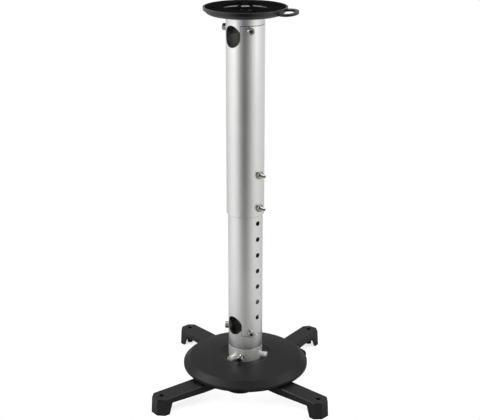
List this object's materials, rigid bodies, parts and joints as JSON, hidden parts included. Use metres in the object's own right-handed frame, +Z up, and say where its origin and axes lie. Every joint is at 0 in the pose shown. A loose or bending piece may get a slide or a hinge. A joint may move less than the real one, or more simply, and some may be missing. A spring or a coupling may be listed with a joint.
{
  "type": "projector ceiling mount",
  "caption": "Telescopic silver mast between a round black ceiling plate and a ball-jointed black disc with adjustable clamp-on arms for hanging a projector.",
  "frame": {"origin": "centre of the ceiling plate's top face, on the mast's axis", "axes": "+Z up out of the ceiling plate, the mast hangs along -Z; +X to the right and -Y to the viewer in the picture"},
  "size_m": [0.2337, 0.2442, 0.5212],
  "materials": {
    "silver_tube": "satin, fine blasted",
    "silver_casting": "satin",
    "black_plate": "satin black coat",
    "black_cover": "satin black, moulded",
    "black_arm": "satin black coat on a casting",
    "nickel": "bright nickel plate",
    "steel": "plain zinc plate",
    "liner": "off-white, smooth"
  },
  "bodies": {
    "mast_top": {"ceiling_plate": "black_plate", "ceiling_cover": "black_cover", "upper_collar": "silver_casting", "hub_screw": "steel", "upper_collar_screws": "nickel", "outer_tube": "silver_tube", "lower_lock_nut": "nickel", "upper_lock_nut": "nickel"},
    "lower_lock": {"lower_lock_screw": "nickel"},
    "upper_lock": {"upper_lock_screw": "nickel"},
    "mast_lower": {"inner_tube": "silver_tube", "lower_collar": "silver_casting", "lower_collar_screws": "nickel"},
    "joint_core": {"tension_bolt": "steel", "tension_washer": "steel", "saddle_washer": "steel", "tension_nut": "steel"},
    "liner": {"joint_liner": "liner"},
    "foot": {"ball_cup": "silver_casting", "cup_lock_screw": "nickel", "cup_screws": "steel", "cover_disc": "black_cover", "carrier_plate": "black_plate"},
    "front_left_clamp": {"front_left_clamp_screw": "steel", "front_left_clamp_washer": "steel", "front_left_clamp_nut": "steel"},
    "front_left_leg": {"front_left_arm": "black_arm"},
    "front_right_clamp": {"front_right_clamp_screw": "steel", "front_right_clamp_washer": "steel", "front_right_clamp_nut": "steel"},
    "front_right_leg": {"front_right_arm": "black_arm"},
    "rear_left_clamp": {"rear_left_clamp_screw": "steel", "rear_left_clamp_washer": "steel", "rear_left_clamp_nut": "steel"},
    "rear_left_leg": {"rear_left_arm": "black_arm"},
    "rear_right_clamp": {"rear_right_clamp_screw": "steel", "rear_right_clamp_washer": "steel", "rear_right_clamp_nut": "steel"},
    "rear_right_leg": {"rear_right_arm": "black_arm"}
  },
  "joints": [
    {"name": "lower_lock_turn_in", "type": "slide", "parent": "mast_top", "child": "lower_lock", "axis": [-0.7071, 0.7071, 0], "range_m": [0, 0.004]},
    {"name": "upper_lock_turn_in", "type": "slide", "parent": "mast_top", "child": "upper_lock", "axis": [-0.7071, 0.7071, 0], "range_m": [0, 0.004]},
    {"name": "mast_height", "type": "slide", "parent": "mast_top", "child": "mast_lower", "axis": [0, 0, -1], "range_m": [-0.0452, 0.113]},
    {"name": "foot_swivel", "type": "hinge", "parent": "mast_lower", "child": "joint_core", "pos_m": [0, 0, -0.481], "axis": [0, 0, 1], "continuous": true},
    {"name": "foot_tilt_x", "type": "hinge", "parent": "joint_core", "child": "liner", "pos_m": [0, 0, -0.481], "axis": [1, 0, 0], "range_deg": [-15, 15]},
    {"name": "foot_tilt_y", "type": "hinge", "parent": "liner", "child": "foot", "pos_m": [0, 0, -0.481], "axis": [0, 1, 0], "range_deg": [-15, 15]},
    {"name": "front_left_swing", "type": "hinge", "parent": "foot", "child": "front_left_clamp", "pos_m": [-0.05109, -0.04488, -0.498], "axis": [0, 0, 1], "range_deg": [-40, 40]},
    {"name": "front_left_reach", "type": "slide", "parent": "front_left_clamp", "child": "front_left_leg", "axis": [-0.7859, -0.6184, 0], "range_m": [-0.0192, 0.0168]},
    {"name": "front_right_swing", "type": "hinge", "parent": "foot", "child": "front_right_clamp", "pos_m": [0.04335, -0.05239, -0.498], "axis": [0, 0, 1], "range_deg": [-40, 40]},
    {"name": "front_right_reach", "type": "slide", "parent": "front_right_clamp", "child": "front_right_leg", "axis": [0.7314, -0.682, 0], "range_m": [-0.0147, 0.0213]},
    {"name": "rear_left_swing", "type": "hinge", "parent": "foot", "child": "rear_left_clamp", "pos_m": [-0.03245, 0.05976, -0.498], "axis": [0, 0, 1], "range_deg": [-40, 40]},
    {"name": "rear_left_reach", "type": "slide", "parent": "rear_left_clamp", "child": "rear_left_leg", "axis": [-0.6691, 0.7431, 0], "range_m": [-0.0186, 0.0174]},
    {"name": "rear_right_swing", "type": "hinge", "parent": "foot", "child": "rear_right_clamp", "pos_m": [0.04867, 0.04749, -0.498], "axis": [0, 0, 1], "range_deg": [-40, 40]},
    {"name": "rear_right_reach", "type": "slide", "parent": "rear_right_clamp", "child": "rear_right_leg", "axis": [0.5878, 0.809, 0], "range_m": [-0.0209, 0.0151]}
  ]
}
